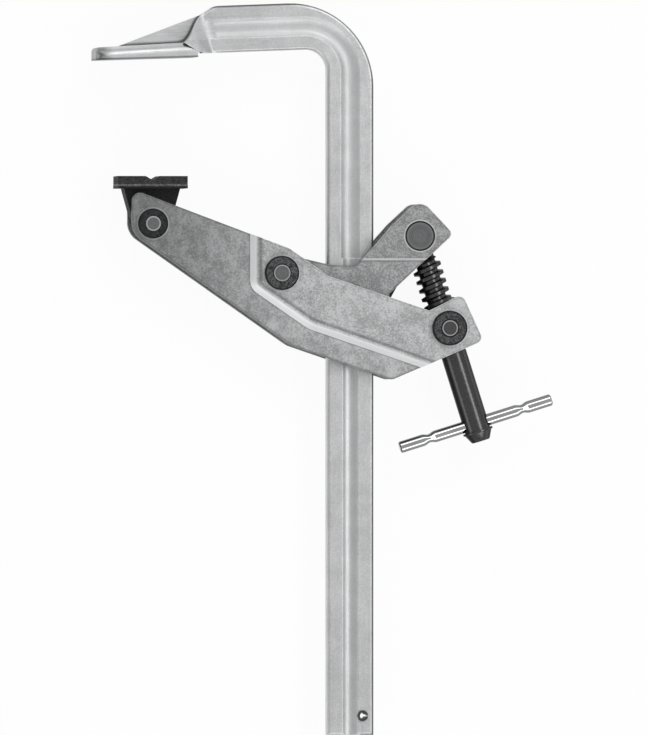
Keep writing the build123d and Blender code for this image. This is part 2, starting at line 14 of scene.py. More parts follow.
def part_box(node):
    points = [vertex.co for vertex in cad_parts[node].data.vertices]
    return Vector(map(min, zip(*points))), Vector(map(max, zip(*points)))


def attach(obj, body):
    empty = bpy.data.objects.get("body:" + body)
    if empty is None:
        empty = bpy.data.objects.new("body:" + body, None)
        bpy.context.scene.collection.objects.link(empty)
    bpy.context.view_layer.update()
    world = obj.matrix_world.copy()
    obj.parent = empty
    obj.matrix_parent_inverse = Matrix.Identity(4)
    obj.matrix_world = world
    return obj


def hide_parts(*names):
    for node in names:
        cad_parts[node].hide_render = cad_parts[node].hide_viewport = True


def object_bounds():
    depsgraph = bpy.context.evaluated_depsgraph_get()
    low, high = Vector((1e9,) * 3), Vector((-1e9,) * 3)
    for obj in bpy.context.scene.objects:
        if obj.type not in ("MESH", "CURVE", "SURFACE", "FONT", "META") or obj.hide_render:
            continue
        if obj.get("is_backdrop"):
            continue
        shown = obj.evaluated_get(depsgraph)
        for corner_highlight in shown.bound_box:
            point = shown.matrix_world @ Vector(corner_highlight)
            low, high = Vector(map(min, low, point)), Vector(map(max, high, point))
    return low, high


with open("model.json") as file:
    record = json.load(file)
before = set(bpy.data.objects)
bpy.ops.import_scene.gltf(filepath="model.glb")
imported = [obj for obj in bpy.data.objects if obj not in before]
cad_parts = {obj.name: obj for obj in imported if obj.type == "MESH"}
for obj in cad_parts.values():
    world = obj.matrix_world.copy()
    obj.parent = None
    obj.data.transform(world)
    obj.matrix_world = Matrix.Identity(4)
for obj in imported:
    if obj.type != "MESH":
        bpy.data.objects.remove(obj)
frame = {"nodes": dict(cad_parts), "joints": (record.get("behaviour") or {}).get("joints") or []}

bl_info = {
    "name": "Claw Clamp",
    "version": (1, 0, 0),
    "blender": (4, 5, 0),
    "location": "3D View > Sidebar > Clamp",
    "description": "Dresses the packed claw clamp and sets its studio stage",
    "category": "Object",
}

MM = 0.001

# Points this close are one point, and faces that meet at a smaller angle are shaded as one
MERGE = 0.002 * MM
SMOOTH_ANGLE = math.radians(32)


def joint(name):
    """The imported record's entry for a joint."""
    return next(entry for entry in frame["joints"] if entry["name"] == name)


def middle(node):
    """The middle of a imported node's box."""
    low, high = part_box(node)
    return (low + high) / 2


def radius_of(node):
    """Half the width of a packed round piece."""
    low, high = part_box(node)
    return (high - low).x / 2


# The screw's axis, from its seat towards the nut, and the direction of the tommy bar
SEAT = Vector(joint("screw_turn")["pos_m"])
SCREW_AXIS = -Vector(joint("screw_turn")["axis"]).normalized()
BAR_AXIS = Vector(joint("handle_slide")["axis"]).normalized()
UP = Vector((0, 0, 1))


def reach(node, axis):
    """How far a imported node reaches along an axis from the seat, down and up."""
    places = [(vertex.co - SEAT).dot(axis) for vertex in frame["nodes"][node].data.vertices]
    return min(places), max(places)


def length(name, description, default):
    """A length in metres that a user can change."""
    return bpy.props.FloatProperty(
        name=name, description=description, default=default, min=0, unit="LENGTH", precision=5
    )


def colour(name, description, default):
    """A colour that a user can change."""
    return bpy.props.FloatVectorProperty(
        name=name, description=description, default=default, min=0, max=1, size=3, subtype="COLOR"
    )


def share(name, description, default, top=1.0):
    """A plain number that a user can change."""
    return bpy.props.FloatProperty(
        name=name, description=description, default=default, min=0, max=top, subtype="FACTOR"
    )


class ClampSizes(bpy.types.PropertyGroup):
    """Sizes of what is modelled here."""

    thread_pitch: length("Thread pitch", "Rise of the thread in one turn", 6 * MM)
    thread_diameter: length("Thread diameter", "Across the thread's crests", 20 * MM)
    thread_core: length("Thread core", "Across the thread's root", 13.6 * MM)
    thread_crest: length("Thread crest", "Width of the thread's crest", 2.2 * MM)
    thread_start: length("Thread start", "From the seat's axis to the thread", 15.5 * MM)
    thread_length: length("Thread length", "Along the screw", 66.5 * MM)
    tip_diameter: length("Tip diameter", "Of the plain tip in its seat", 14 * MM)
    shank_diameter: length("Shank diameter", "Of the plain shank below the thread", 17.6 * MM)
    bar_place: length("Bar place", "From the seat's axis to the tommy bar", 132.4 * MM)
    bar_hole: length("Bar hole", "Diameter of the cross hole", 8.5 * MM)
    flange_diameter: length("Flange diameter", "Of the upset end's rim", 20.6 * MM)
    flange_thickness: length("Flange thickness", "Of the upset end's rim", 1.5 * MM)
    end_face: length("End face", "Diameter of the flat at the screw's end", 12 * MM)
    bar_diameter: length("Bar diameter", "Of the tommy bar", 8 * MM)
    bar_crimp: length("Crimp place", "From the bar's middle to each crimp", 33 * MM)
    bar_crimp_run: length("Crimp run", "Length of each crimp", 9 * MM)
    bar_neck: length("Crimp neck", "Width of the crimp as seen from the side", 5.8 * MM)
    bar_spread: length("Crimp spread", "Width of the crimp through the clamp", 9.4 * MM)


class ClampColours(bpy.types.PropertyGroup):
    """Colours of the finishes."""

    zinc: colour("Zinc", "Zinc plating on the forged rail", (0.74, 0.745, 0.75))
    # Darker streaks and pits of the rail, and the painted shade in its groove
    zinc_dull_and_shade: colour("Dull zinc", "Streaks, pits and grooves of the rail", (0.5, 0.505, 0.51))
    # Painted shade on the rail's sides and rounded edges, and on the claw's tip
    zinc_shade: colour("Dark zinc", "Sides of the rail and the claw's tip", (0.12, 0.121, 0.122))
    sheet: colour("Sheet", "Galvanised sheet", (0.42, 0.425, 0.43))
    sheet_light: colour("Light sheet", "Light patches of the sheet", (0.62, 0.625, 0.63))
    sheet_dark: colour("Dark sheet", "Dark patches of the sheet", (0.25, 0.253, 0.256))
    # Painted shade on the sheet's cut sides, along its edges, on its bends and in the hollow by its
    # step
    sheet_shade: colour("Dull sheet", "Sides, borders and creases of sheet", (0.09, 0.091, 0.092))
    # Painted highlights on the sheet's steps, edges and pin rings, and painted light on the claw
    painted_highlight: colour("Burnished steel", "Steps of the sheet, rubbed claw", (0.8, 0.805, 0.81))
    # Also the painted shade strokes on the rail, and the painted shade of the gap round the screw's
    # seat
    black: colour("Black oxide", "Blackened steel", (0.008, 0.008, 0.009))
    # Rubbed faces of the black pieces, and their edges, lightened by wear and a painted highlight
    worn_black: colour("Worn black", "Rubbed faces of the black pieces", (0.06, 0.06, 0.062))
    oiled: colour("Oiled black", "Lighter patches of the oiled screw", (0.02, 0.02, 0.021))
    # Also the painted highlight line on the pad
    turned: colour("Turned steel", "Turned faces of the pins", (0.13, 0.132, 0.134))
    # Painted highlight on the rims of the turned faces
    rim_highlight: colour("Bright rim", "Burnished rims of the turned faces", (0.36, 0.365, 0.37))
    bright: colour("Bright steel", "Polished tommy bar", (0.78, 0.785, 0.79))
    bright_dull: colour("Dull marks", "Drawn marks along the tommy bar", (0.5, 0.505, 0.51))
    # Painted shade on the sides of the tommy bar
    bar_side_shade: colour("Dark sides", "Low sides of the tommy bar", (0.12, 0.121, 0.122))


class ClampStage(bpy.types.PropertyGroup):
    """The studio."""

    lens: bpy.props.FloatProperty(
        name="Lens", description="Focal length of the camera, in millimetres", default=800, min=20
    )
    turn: bpy.props.FloatProperty(
        name="Turn", description="Turn of the camera about the rail's direction",
        default=math.radians(7), subtype="ANGLE",
    )
    frame_height: length("Frame height", "Height of the picture at the clamp's middle", 0.4948)
    floor_white: share("Floor white", "How much of the floor's white takes no shadow", 0.94)
    lamp_level: share("Lamp level", "Strength of the lamps", 1.0, 4.0)
    sky_level: share("Sky level", "Strength of the world's light", 1.0, 4.0)
    overhead: share("Overhead", "Brightness of the studio straight above", 0.38)
    soft_boxes: share("Soft boxes", "Brightness of the two soft boxes", 2.1, 4.0)


# Materials. Each is built from Object coordinates, which stay with the piece when it moves


class Nodes:
    """A node tree, with short calls for the nodes that the finishes and the stage use."""

    def __init__(self, owner):
        owner.use_nodes = True
        self.tree = owner.node_tree
        self.tree.nodes.clear()
        self.coordinates = self.tree.nodes.new("ShaderNodeTexCoord")

    def join(self, source, target):
        """Links an output, or sets a value, on an input."""
        if isinstance(source, bpy.types.NodeSocket):
            self.tree.links.new(source, target)
        else:
            target.default_value = source

    def math(self, operation, *values):
        """A Math node."""
        node = self.tree.nodes.new("ShaderNodeMath")
        node.operation = operation
        for value, target in zip(values, node.inputs):
            self.join(value, target)
        return node.outputs[0]

    def absolute(self, value):
        """A number without its sign."""
        return self.math("ABSOLUTE", value)

    def chain(self, operation, first, *others):
        """Joins numbers in turn by one operation."""
        for other in others:
            first = self.math(operation, first, other)
        return first

    def total(self, *values):
        """The sum of some numbers."""
        return self.chain("ADD", *values)

    def product(self, *values):
        """The product of some numbers."""
        return self.chain("MULTIPLY", *values)

    def distance(self, *sides):
        """The distance that two steps at right angles cover."""
        return self.math("SQRT", self.total(*(self.product(side, side) for side in sides)))

    def vector_math(self, operation, first, second):
        """The outputs of a Vector Math node."""
        node = self.tree.nodes.new("ShaderNodeVectorMath")
        node.operation = operation
        self.join(first, node.inputs[0])
        self.join(second, node.inputs[1])
        return node.outputs

    def stretched(self, vector, scale):
        """A vector scaled by its own factor along each axis."""
        return self.vector_math("MULTIPLY", vector, scale)["Vector"]

    def dot(self, first, second):
        """How far one vector reaches along another."""
        return self.vector_math("DOT_PRODUCT", first, second)["Value"]

    def split(self, vector):
        """The X, Y and Z of a vector."""
        node = self.tree.nodes.new("ShaderNodeSeparateXYZ")
        self.join(vector, node.inputs[0])
        return node.outputs

    def combine(self, *values):
        """A vector made from three numbers."""
        node = self.tree.nodes.new("ShaderNodeCombineXYZ")
        for value, target in zip(values, node.inputs):
            self.join(value, target)
        return node.outputs[0]

    def noise(self, vector, size, detail=3.0, roughness=0.6):
        """Noise whose patches are about as large as size, from 0 to 1."""
        node = self.tree.nodes.new("ShaderNodeTexNoise")
        self.join(vector, node.inputs["Vector"])
        self.join(1 / size, node.inputs["Scale"])
        self.join(detail, node.inputs["Detail"])
        self.join(roughness, node.inputs["Roughness"])
        return node.outputs[0]

    def range(self, value, low, high, to_low=0.0, to_high=1.0):
        """Maps a value smoothly from one range to another, and holds it beyond."""
        node = self.tree.nodes.new("ShaderNodeMapRange")
        node.interpolation_type = "SMOOTHSTEP"
        for source, target in zip((value, low, high, to_low, to_high), node.inputs):
            self.join(source, target)
        return node.outputs[0]

    def mix(self, factor, first, second, blend="MIX"):
        """Mixes two colours."""
        node = self.tree.nodes.new("ShaderNodeMix")
        node.data_type = "RGBA"
        node.blend_type = blend
        self.join(factor, node.inputs["Factor"])
        for source, target in ((first, node.inputs[6]), (second, node.inputs[7])):
            if not isinstance(source, bpy.types.NodeSocket):
                source = (*source, 1)
            self.join(source, target)
        return node.outputs[2]

    def grey(self, value):
        """A grey of a given value, as a colour."""
        return self.combine(value, value, value)

    def toned(self, base, tone):
        """A colour made lighter or darker by a number."""
        return self.mix(1.0, base, self.grey(tone), "MULTIPLY")


class Finish(Nodes):
    """A material for metal, placed by the coordinates of the piece that wears it."""

    # Plain gloss that an export writes where it can't write a changing one
    EXPORT_GLOSS = 0.3
    BEVEL_SAMPLES = 6
    HOLLOW_SAMPLES = 12

    def __init__(self, name):
        self.material = bpy.data.materials.new(name)
        super().__init__(self.material)
        output = self.tree.nodes.new("ShaderNodeOutputMaterial")
        self.surface = self.tree.nodes.new("ShaderNodeBsdfPrincipled")
        self.join(self.surface.outputs[0], output.inputs["Surface"])
        self.place = self.coordinates.outputs["Object"]
        self.x, self.y, self.z = self.split(self.place)
        # How flat the surface lies: 1 on the wide faces of a piece, 0 on its sides
        self.face = self.absolute(self.split(self.coordinates.outputs["Normal"])[2])

    def radius_from(self, centre):
        """Distance in the side view from a pin's middle line."""
        return self.distance(
            self.math("SUBTRACT", self.x, centre.x), self.math("SUBTRACT", self.y, centre.y)
        )

    def bevel(self, radius):
        """The surface's normal, with its edges rounded off."""
        node = self.tree.nodes.new("ShaderNodeBevel")
        node.samples = self.BEVEL_SAMPLES
        self.join(radius, node.inputs["Radius"])
        return node.outputs[0]

    def edges(self, radius, sharpest=0.8, flattest=0.98):
        """1 along the sharp edges of the surface, falling to 0 away from them.

        The two limits are of how far the rounded normal agrees with the plain one.
        """
        shape = self.tree.nodes.new("ShaderNodeNewGeometry")
        agreed = self.dot(self.bevel(radius), shape.outputs["Normal"])
        return self.range(agreed, sharpest, flattest, 1.0, 0.0)

    def hollows(self, radius, deep=0.68, shallow=0.82):
        """1 in the inner corners of the piece, falling to 0 where it lies open.

        The two limits are of how much light comes in from within the radius.
        """
        node = self.tree.nodes.new("ShaderNodeAmbientOcclusion")
        node.samples = self.HOLLOW_SAMPLES
        node.only_local = True
        self.join(radius, node.inputs["Distance"])
        return self.range(node.outputs["AO"], deep, shallow, 1.0, 0.0)

    def bump(self, height, strength, depth, normal):
        """The normal over a fine relief."""
        node = self.tree.nodes.new("ShaderNodeBump")
        self.join(height, node.inputs["Height"])
        self.join(strength, node.inputs["Strength"])
        self.join(depth, node.inputs["Distance"])
        self.join(normal, node.inputs["Normal"])
        return node.outputs[0]

    def finish(self, base, metallic, roughness, normal, gloss=0.5):
        """Sets the surface's colour, metal, roughness, normal and share of plain gloss."""
        level = self.surface.inputs["Specular IOR Level"]
        level.default_value = self.EXPORT_GLOSS
        self.join(base, self.surface.inputs["Base Color"])
        self.join(metallic, self.surface.inputs["Metallic"])
        self.join(roughness, self.surface.inputs["Roughness"])
        self.join(normal, self.surface.inputs["Normal"])
        self.join(gloss, level)
        return self.material


# The rail's form, which its finish follows. A pair holds the places where a tone starts to
# change and where it has changed. Some are measured across the rail from its middle line, some
# along X, and some as a height above the rail's middle plane or above the claw's sole
RAIL_HALF_WIDTH = 15.75 * MM
BEND_RADIUS = 31 * MM
BEND_HEIGHT = -9 * MM
HEAD_FALL = math.tan(math.radians(2.2))
CLAW_LEAN = 0.0314
GROOVE_ACROSS = (6.6 * MM, 7 * MM)
GROOVE_DEPTH = (5.2 * MM, 5.9 * MM)
WIDE_GROOVE_Y = (-150 * MM, -125 * MM)
INNER_SIDE_ACROSS = (-8 * MM, 0.0)
BACK_ACROSS = (13.7 * MM, 14.8 * MM)
CLAW_X = (36 * MM, 42 * MM)
FLANKS_X = (36 * MM, 52 * MM)
# Where the painted light on the claw's plate and fin fades out, along X
CLAW_LIGHT_X = (30 * MM, 33 * MM)
FIN_HEIGHT = (3.8 * MM, 4.2 * MM)
SOLE_HEIGHT = (0.5 * MM, 1.5 * MM)


def rail_coordinates(nodes):
    """Distance across the rail from its middle line, and along it, round the bend."""
    bend_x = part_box("rail")[1].x - RAIL_HALF_WIDTH - BEND_RADIUS
    right = nodes.math("SUBTRACT", nodes.x, bend_x)
    above = nodes.math("SUBTRACT", nodes.y, BEND_HEIGHT)
    lowered = nodes.product(nodes.math("MINIMUM", right, 0.0), HEAD_FALL)
    above = nodes.math("SUBTRACT", above, lowered)
    right_of_bend = nodes.math("MAXIMUM", right, 0.0)
    above_bend = nodes.math("MAXIMUM", above, 0.0)
    across = nodes.math("SUBTRACT", nodes.distance(right_of_bend, above_bend), BEND_RADIUS)
    round_bend = nodes.product(nodes.math("ARCTAN2", above_bend, right_of_bend), BEND_RADIUS)
    along = nodes.total(round_bend, nodes.math("MINIMUM", above, 0.0))
    along = nodes.math("SUBTRACT", along, nodes.math("MINIMUM", right, 0.0))
    return across, along


def rail_shade_lines(nodes, across):
    """The rail's painted shade: a dark stroke along its back, another over the claw's sole, and
    shade where the claw's faces meet inside.
    """
    claw = nodes.range(nodes.x, *CLAW_X, 1.0, 0.0)
    back = nodes.product(
        nodes.range(across, *BACK_ACROSS), nodes.range(claw, 0.0, 1.0, 0.55, 0.0)
    )
    above_sole = nodes.math("SUBTRACT", nodes.y, nodes.product(nodes.x, CLAW_LEAN))
    sole = nodes.product(nodes.range(above_sole, *SOLE_HEIGHT, 0.7, 0.0), claw)
    corner_shade = nodes.product(nodes.hollows(3.5 * MM), claw, 0.8)
    return nodes.chain("MAXIMUM", back, sole, corner_shade)


def forged_zinc(colours):
    """Zinc plating on the drawn and forged rail, streaked along its length."""
    nodes = Finish("forged_zinc")
    across, along = rail_coordinates(nodes)
    unbent = nodes.combine(across, along, nodes.z)
    streaks = nodes.noise(nodes.stretched(unbent, (1, 0.02, 1)), 1.1 * MM, 4.0, 0.7)
    drag = nodes.noise(nodes.stretched(unbent, (1, 0.12, 1)), 2.5 * MM)
    clouds = nodes.noise(nodes.place, 14 * MM)
    grain = nodes.noise(nodes.place, 0.8 * MM, 2.0, 0.7)
    pits = nodes.noise(nodes.place, 2.2 * MM, 4.0, 0.75)

    base = nodes.mix(nodes.range(streaks, 0.3, 0.7), colours.zinc_dull_and_shade, colours.zinc)
    base = nodes.mix(0.6, base, colours.zinc)
    base = nodes.mix(nodes.range(drag, 0.55, 0.85, 0.0, 0.35), base, colours.zinc_dull_and_shade)
    base = nodes.toned(base, nodes.range(clouds, 0.25, 0.75, 0.9, 1.06))
    base = nodes.toned(base, nodes.range(grain, 0.25, 0.75, 0.86, 1.1))
    base = nodes.mix(nodes.range(pits, 0.66, 0.78, 0.0, 0.45), base, colours.zinc_dull_and_shade)

    # Painted shade in the groove, on the rounded edges and on the narrow sides
    depth = nodes.absolute(nodes.z)
    grooved = nodes.range(nodes.absolute(across), *GROOVE_ACROSS, 1.0, 0.0)
    groove_shade = nodes.product(grooved, nodes.range(depth, *GROOVE_DEPTH, 0.4, 0.0))
    base = nodes.mix(groove_shade, base, colours.zinc_dull_and_shade)
    flanks = nodes.range(nodes.x, *FLANKS_X, 0.3, 1.0)
    side_and_edge_shade = nodes.product(
        nodes.range(nodes.face, 0.75, 0.99, 0.75, 0.0),
        nodes.range(nodes.face, 0.0, 0.5, 0.7, 1.0),
        nodes.range(grooved, 0.0, 1.0, flanks, 0.0),
        nodes.range(across, *INNER_SIDE_ACROSS, 0.4, 1.0),
    )
    base = nodes.mix(side_and_edge_shade, base, colours.zinc_shade)

    # Painted light on the claw's plate and fin, broken up by the drag streaks, and painted shade on
    # its tip
    low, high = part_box("rail")
    plate_edge = high.z - 1.5 * MM
    plate = nodes.range(depth, plate_edge, plate_edge + 1 * MM, 0.0, 0.7)
    fin = nodes.product(
        nodes.range(depth, *FIN_HEIGHT, 1.0, 0.0), nodes.range(nodes.face, 0.9, 0.97)
    )
    rubbed = nodes.product(
        nodes.math("MAXIMUM", plate, fin),
        nodes.range(nodes.x, *CLAW_LIGHT_X, 1.0, 0.0),
        nodes.range(drag, 0.35, 0.6, 0.75, 0.2),
    )
    base = nodes.mix(rubbed, base, colours.painted_highlight)
    tip_shade_edge = low.x + 3 * MM
    scale = nodes.product(
        nodes.range(nodes.x, tip_shade_edge, tip_shade_edge + 10 * MM, 0.8, 0.0),
        nodes.range(drag, 0.3, 0.6, 0.6, 1.0),
    )
    base = nodes.mix(scale, base, colours.zinc_shade)
    # Painted shade strokes, mixed towards black
    shade_lines = rail_shade_lines(nodes, across)
    base = nodes.mix(shade_lines, base, colours.black)

    # The wide upper part of the groove is rougher
    wide_groove = nodes.product(grooved, nodes.range(nodes.y, *WIDE_GROOVE_Y, 0.02, 0.12))
    roughness = nodes.total(nodes.range(streaks, 0.2, 0.8, 0.42, 0.3), wide_groove)
    relief = nodes.total(nodes.product(streaks, 0.6), pits)
    normal = nodes.bump(relief, 0.35, 0.12 * MM, nodes.bevel(0.8 * MM))
    metallic = nodes.range(shade_lines, 0.0, 1.0, 0.75, 0.1)
    gloss = nodes.range(shade_lines, 0.0, 1.0, 0.5, 0.0)
    return nodes.finish(base, metallic, roughness, normal, gloss)


def galvanised(colours, name, raised_height, painted_light, contrast, pins):
    """Galvanised sheet: mottled, with painted light of one brightness below its pressed step and
    another above.

    The painted light is given for the low part's left and right ends, and for the raised part. Each
    pin is given as its middle and the radius that it covers, and has a painted highlight ring round
    it.
    """
    low_part_end = 110 * MM
    nodes = Finish(name)
    depth = nodes.absolute(nodes.z)
    raised = nodes.range(depth, raised_height - 0.5 * MM, raised_height - 0.1 * MM)
    speckle = nodes.noise(nodes.place, 1.3 * MM, 3.0, 0.9)
    mottle = nodes.noise(nodes.place, 4.2 * MM, 5.0, 0.7)
    clouds = nodes.noise(nodes.place, 17 * MM, 4.0, 0.65)
    specks = nodes.noise(nodes.place, 1.5 * MM, 5.0, 0.85)

    patches = nodes.total(
        nodes.product(speckle, 0.5), nodes.product(mottle, 0.25), nodes.product(clouds, 0.25)
    )
    spread = 0.13 / contrast
    patches = nodes.range(patches, 0.5 - spread, 0.5 + spread)
    base = nodes.mix(patches, colours.sheet_dark, colours.sheet_light)
    base = nodes.mix(0.35, base, colours.sheet)
    # Painted light: the low part grades from its left brightness to its right one, and the raised
    # part has its own
    left, right, top = painted_light
    low_part_light = nodes.range(nodes.x, 0.0, low_part_end, left, right)
    base = nodes.toned(base, nodes.range(raised, 0.0, 1.0, low_part_light, top))
    dark_specks = nodes.range(specks, 0.56, 0.66, 0.0, 0.45 * contrast)
    base = nodes.mix(dark_specks, base, colours.sheet_dark)
    light_specks = nodes.range(specks, 0.34, 0.44, 0.4 * contrast, 0.0)
    base = nodes.mix(light_specks, base, colours.sheet_light)

    # Each edge has a painted shade band beside it and a painted highlight along the edge itself
    flat = nodes.range(nodes.face, 0.9, 0.97)
    border_shade = nodes.product(
        nodes.edges(3 * MM, 0.9, 0.998), flat, nodes.range(raised, 0.0, 1.0, 0.85, 0.45)
    )
    base = nodes.mix(border_shade, base, colours.sheet_shade)
    corner_highlight = nodes.product(
        nodes.edges(1.4 * MM),
        nodes.range(mottle, 0.35, 0.55, 0.4, 0.9),
        nodes.range(raised, 0.0, 1.0, 0.25, 1.0),
        flat,
    )
    base = nodes.mix(corner_highlight, base, colours.painted_highlight)

    # Painted highlight on the sloping step, and painted shade on the curve of each bend and in the
    # hollow beside the step
    bend = nodes.product(
        nodes.range(nodes.face, 0.93, 0.96), nodes.range(nodes.face, 0.985, 0.998, 0.5, 0.0)
    )
    base = nodes.mix(bend, base, colours.sheet_shade)
    crease_shade = nodes.product(
        nodes.hollows(2.5 * MM, 0.8, 0.95), nodes.range(nodes.face, 0.95, 0.99, 0.0, 0.55)
    )
    base = nodes.mix(crease_shade, base, colours.sheet_shade)
    step = nodes.product(
        nodes.range(nodes.face, 0.5, 0.6), nodes.range(nodes.face, 0.8, 0.93, 1.0, 0.0)
    )
    base = nodes.mix(step, base, colours.painted_highlight)
    # Painted shade on the cut sides of the sheet
    sheared_side_shade = nodes.range(nodes.face, 0.05, 0.4, 0.85, 0.0)
    base = nodes.mix(sheared_side_shade, base, colours.sheet_shade)
    # Painted highlight ring round each pin
    for centre, covered in pins:
        radius = nodes.radius_from(centre)
        ring = nodes.product(
            nodes.range(radius, covered, covered + 0.3 * MM),
            nodes.range(radius, covered + 0.6 * MM, covered + 1.4 * MM, 0.4, 0.0),
        )
        base = nodes.mix(ring, base, colours.painted_highlight)

    roughness = nodes.range(mottle, 0.3, 0.7, 0.4, 0.55)
    relief = nodes.total(speckle, nodes.product(mottle, 0.6))
    normal = nodes.bump(relief, 0.35, 0.12 * MM, nodes.bevel(0.8 * MM))
    return nodes.finish(base, 0.5, roughness, normal)


def black_oxide(colours, name, wear=0.3, edge_wear_and_light=0.5, ring=None, line=None):
    """Blackened steel, greyer where it is rubbed, and lighter along its edges by wear and a painted
    highlight.

    A washer gives its middle and the radii between which its face is rubbed. The pad gives the
    height of a painted highlight line along the bottom of its plate, and is black below it.
    """
    nodes = Finish(name)
    mottle = nodes.noise(nodes.place, 3 * MM, 4.0, 0.7)
    grain = nodes.noise(nodes.place, 0.8 * MM, 3.0, 0.7)
    rubbed = nodes.product(
        nodes.range(nodes.face, 0.85, 0.99, 0.0, wear), nodes.range(mottle, 0.35, 0.6, 0.3, 1.0)
    )
    if ring is not None:
        centre, inner, outer = ring
        radius = nodes.radius_from(centre)
        rubbed = nodes.product(
            rubbed,
            nodes.range(radius, inner, inner + 0.6 * MM),
            nodes.range(radius, outer - 0.6 * MM, outer, 1.0, 0.0),
        )
    # Lighter along the edges: wear, and a painted highlight on the rims
    worn_and_lit_edge = nodes.product(
        nodes.edges(0.5 * MM), nodes.range(mottle, 0.35, 0.6, 0.3 * edge_wear_and_light, edge_wear_and_light)
    )
    worn = nodes.math("MAXIMUM", rubbed, worn_and_lit_edge)
    line_highlight = 0.0
    if line is not None:
        above = nodes.math("SUBTRACT", nodes.y, line)
        worn = nodes.product(worn, nodes.range(above, -1.5 * MM, -1.0 * MM))
        # A painted highlight line at the given height
        line_highlight = nodes.product(
            nodes.range(nodes.absolute(above), 0.3 * MM, 0.9 * MM, 1.0, 0.0),
            nodes.range(mottle, 0.35, 0.55, 0.5, 1.0),
        )
    base = nodes.mix(worn, colours.black, colours.worn_black)
    base = nodes.mix(line_highlight, base, colours.turned)
    base = nodes.toned(base, nodes.range(grain, 0.35, 0.65, 0.2, 2.2))
    roughness = nodes.range(mottle, 0.3, 0.7, 0.4, 0.55)
    normal = nodes.bump(grain, 0.3, 0.08 * MM, nodes.bevel(0.4 * MM))
    gloss = nodes.range(nodes.face, 0.05, 0.6, 0.02, 0.2)
    return nodes.finish(base, 0.0, roughness, normal, gloss)


def oiled_black(colours):
    """The screw: black and oily, so that its thread glints."""
    oil_film_ior = 1.6
    nodes = Finish("oiled_black")
    grain = nodes.noise(nodes.place, 1.2 * MM)
    base = nodes.mix(nodes.range(grain, 0.4, 0.75), colours.black, colours.oiled)
    roughness = nodes.range(grain, 0.3, 0.7, 0.16, 0.28)
    normal = nodes.bump(grain, 0.15, 0.08 * MM, nodes.bevel(0.4 * MM))
    gloss = nodes.range(nodes.face, 0.5, 0.94, 0.03, 1.0)
    nodes.surface.inputs["IOR"].default_value = oil_film_ior
    return nodes.finish(base, 0.0, roughness, normal, gloss)


def turned_face(colours, name, centre, tone, rim=None, edge=None):
    """A turned end face, with fine rings about its centre.

    It has a painted highlight from the radius rim on, and painted shade of a gap next to the radius
    edge, where these are given.
    """
    nodes = Finish(name)
    radius = nodes.radius_from(centre)
    rings = nodes.noise(nodes.combine(radius, nodes.product(nodes.z, 0.1), 0.0), 0.6 * MM, 2.0)
    grain = nodes.noise(nodes.place, 0.9 * MM, 3.0, 0.7)
    base = nodes.toned(tone, nodes.range(rings, 0.3, 0.7, 0.75, 1.25))
    base = nodes.toned(base, nodes.range(grain, 0.2, 0.8, 0.8, 1.2))
    base = nodes.mix(nodes.range(nodes.face, 0.5, 0.95, 0.9, 0.0), base, colours.black)
    if rim is not None:
        # Painted highlight on the rim
        base = nodes.mix(nodes.range(radius, rim, rim + 0.3 * MM), base, colours.rim_highlight)
    if edge is not None:
        # Painted shade of the gap round the face
        gap_shade = nodes.range(radius, edge - 1.1 * MM, edge - 0.7 * MM)
        base = nodes.mix(gap_shade, base, colours.black)
    roughness = nodes.range(rings, 0.3, 0.7, 0.4, 0.5)
    normal = nodes.bump(rings, 0.2, 0.03 * MM, nodes.bevel(0.25 * MM))
    return nodes.finish(base, 0.2, roughness, normal, 0.3)


def polished(colours):
    """The bright drawn bar, with faint marks along it."""
    nodes = Finish("polished_bar")
    along = nodes.product(nodes.dot(nodes.place, tuple(BAR_AXIS)), 0.04)
    marks = nodes.noise(nodes.combine(along, nodes.z, 0.0), 0.8 * MM)
    base = nodes.mix(nodes.range(marks, 0.35, 0.65, 0.6), colours.bright_dull, colours.bright)
    # Painted shade on the bar's sides
    side_shade_mask = nodes.range(nodes.face, 0.6, 0.88, 0.9, 0.0)
    base = nodes.mix(side_shade_mask, base, colours.bar_side_shade)
    roughness = nodes.range(marks, 0.3, 0.7, 0.06, 0.12)
    return nodes.finish(base, 1.0, roughness, nodes.bevel(0.3 * MM))


# Objects


def dress(packed, material):
    """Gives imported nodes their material."""
    for node in packed:
        piece = frame["nodes"][node]
        piece.data.materials.clear()
        piece.data.materials.append(material)


def add_object(name, data):
    """A new object in the scene."""
    added = bpy.data.objects.new(name, data)
    bpy.context.scene.collection.objects.link(added)
    return added


def mesh_from(name, build):
    """A mesh from a function that builds it in an empty form."""
    form = bmesh.new()
    build(form)
    mesh = bpy.data.meshes.new(name)
    form.to_mesh(mesh)
    form.free()
    return mesh


def piece_from(name, build, body, material, replaced):
    """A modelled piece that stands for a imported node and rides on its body."""
    mesh = mesh_from(name, build)
    mesh.materials.append(material)
    mesh.shade_smooth()
    mesh.set_sharp_from_angle(angle=SMOOTH_ANGLE)
    piece = add_object(name, mesh)
    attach(piece, body)
    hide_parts(replaced)
    return piece


def around(steps):
    """The angles of a full turn, from 0 to its end."""
    return [2 * math.pi * step / steps for step in range(steps + 1)]


def skin(form, rows):
    """Spans faces from row to row of points, and closes them to one solid form."""
    for low, high in zip(rows, rows[1:]):
        for step in range(len(low) - 1):
            form.faces.new((low[step], low[step + 1], high[step + 1], high[step]))
    bmesh.ops.remove_doubles(form, verts=form.verts, dist=MERGE)
    bmesh.ops.dissolve_degenerate(form, edges=form.edges, dist=MERGE)
    bmesh.ops.recalc_face_normals(form, faces=form.faces)


# The screw spindle

TURN_STEPS = 48
FLANK_ANGLE = math.radians(15)
SPINDLE_CHAMFER = 0.5 * MM
HOLE_WALL = 0.5 * MM
HOLE_SIDES = 48
CREST_ROUNDING = 0.25 * MM


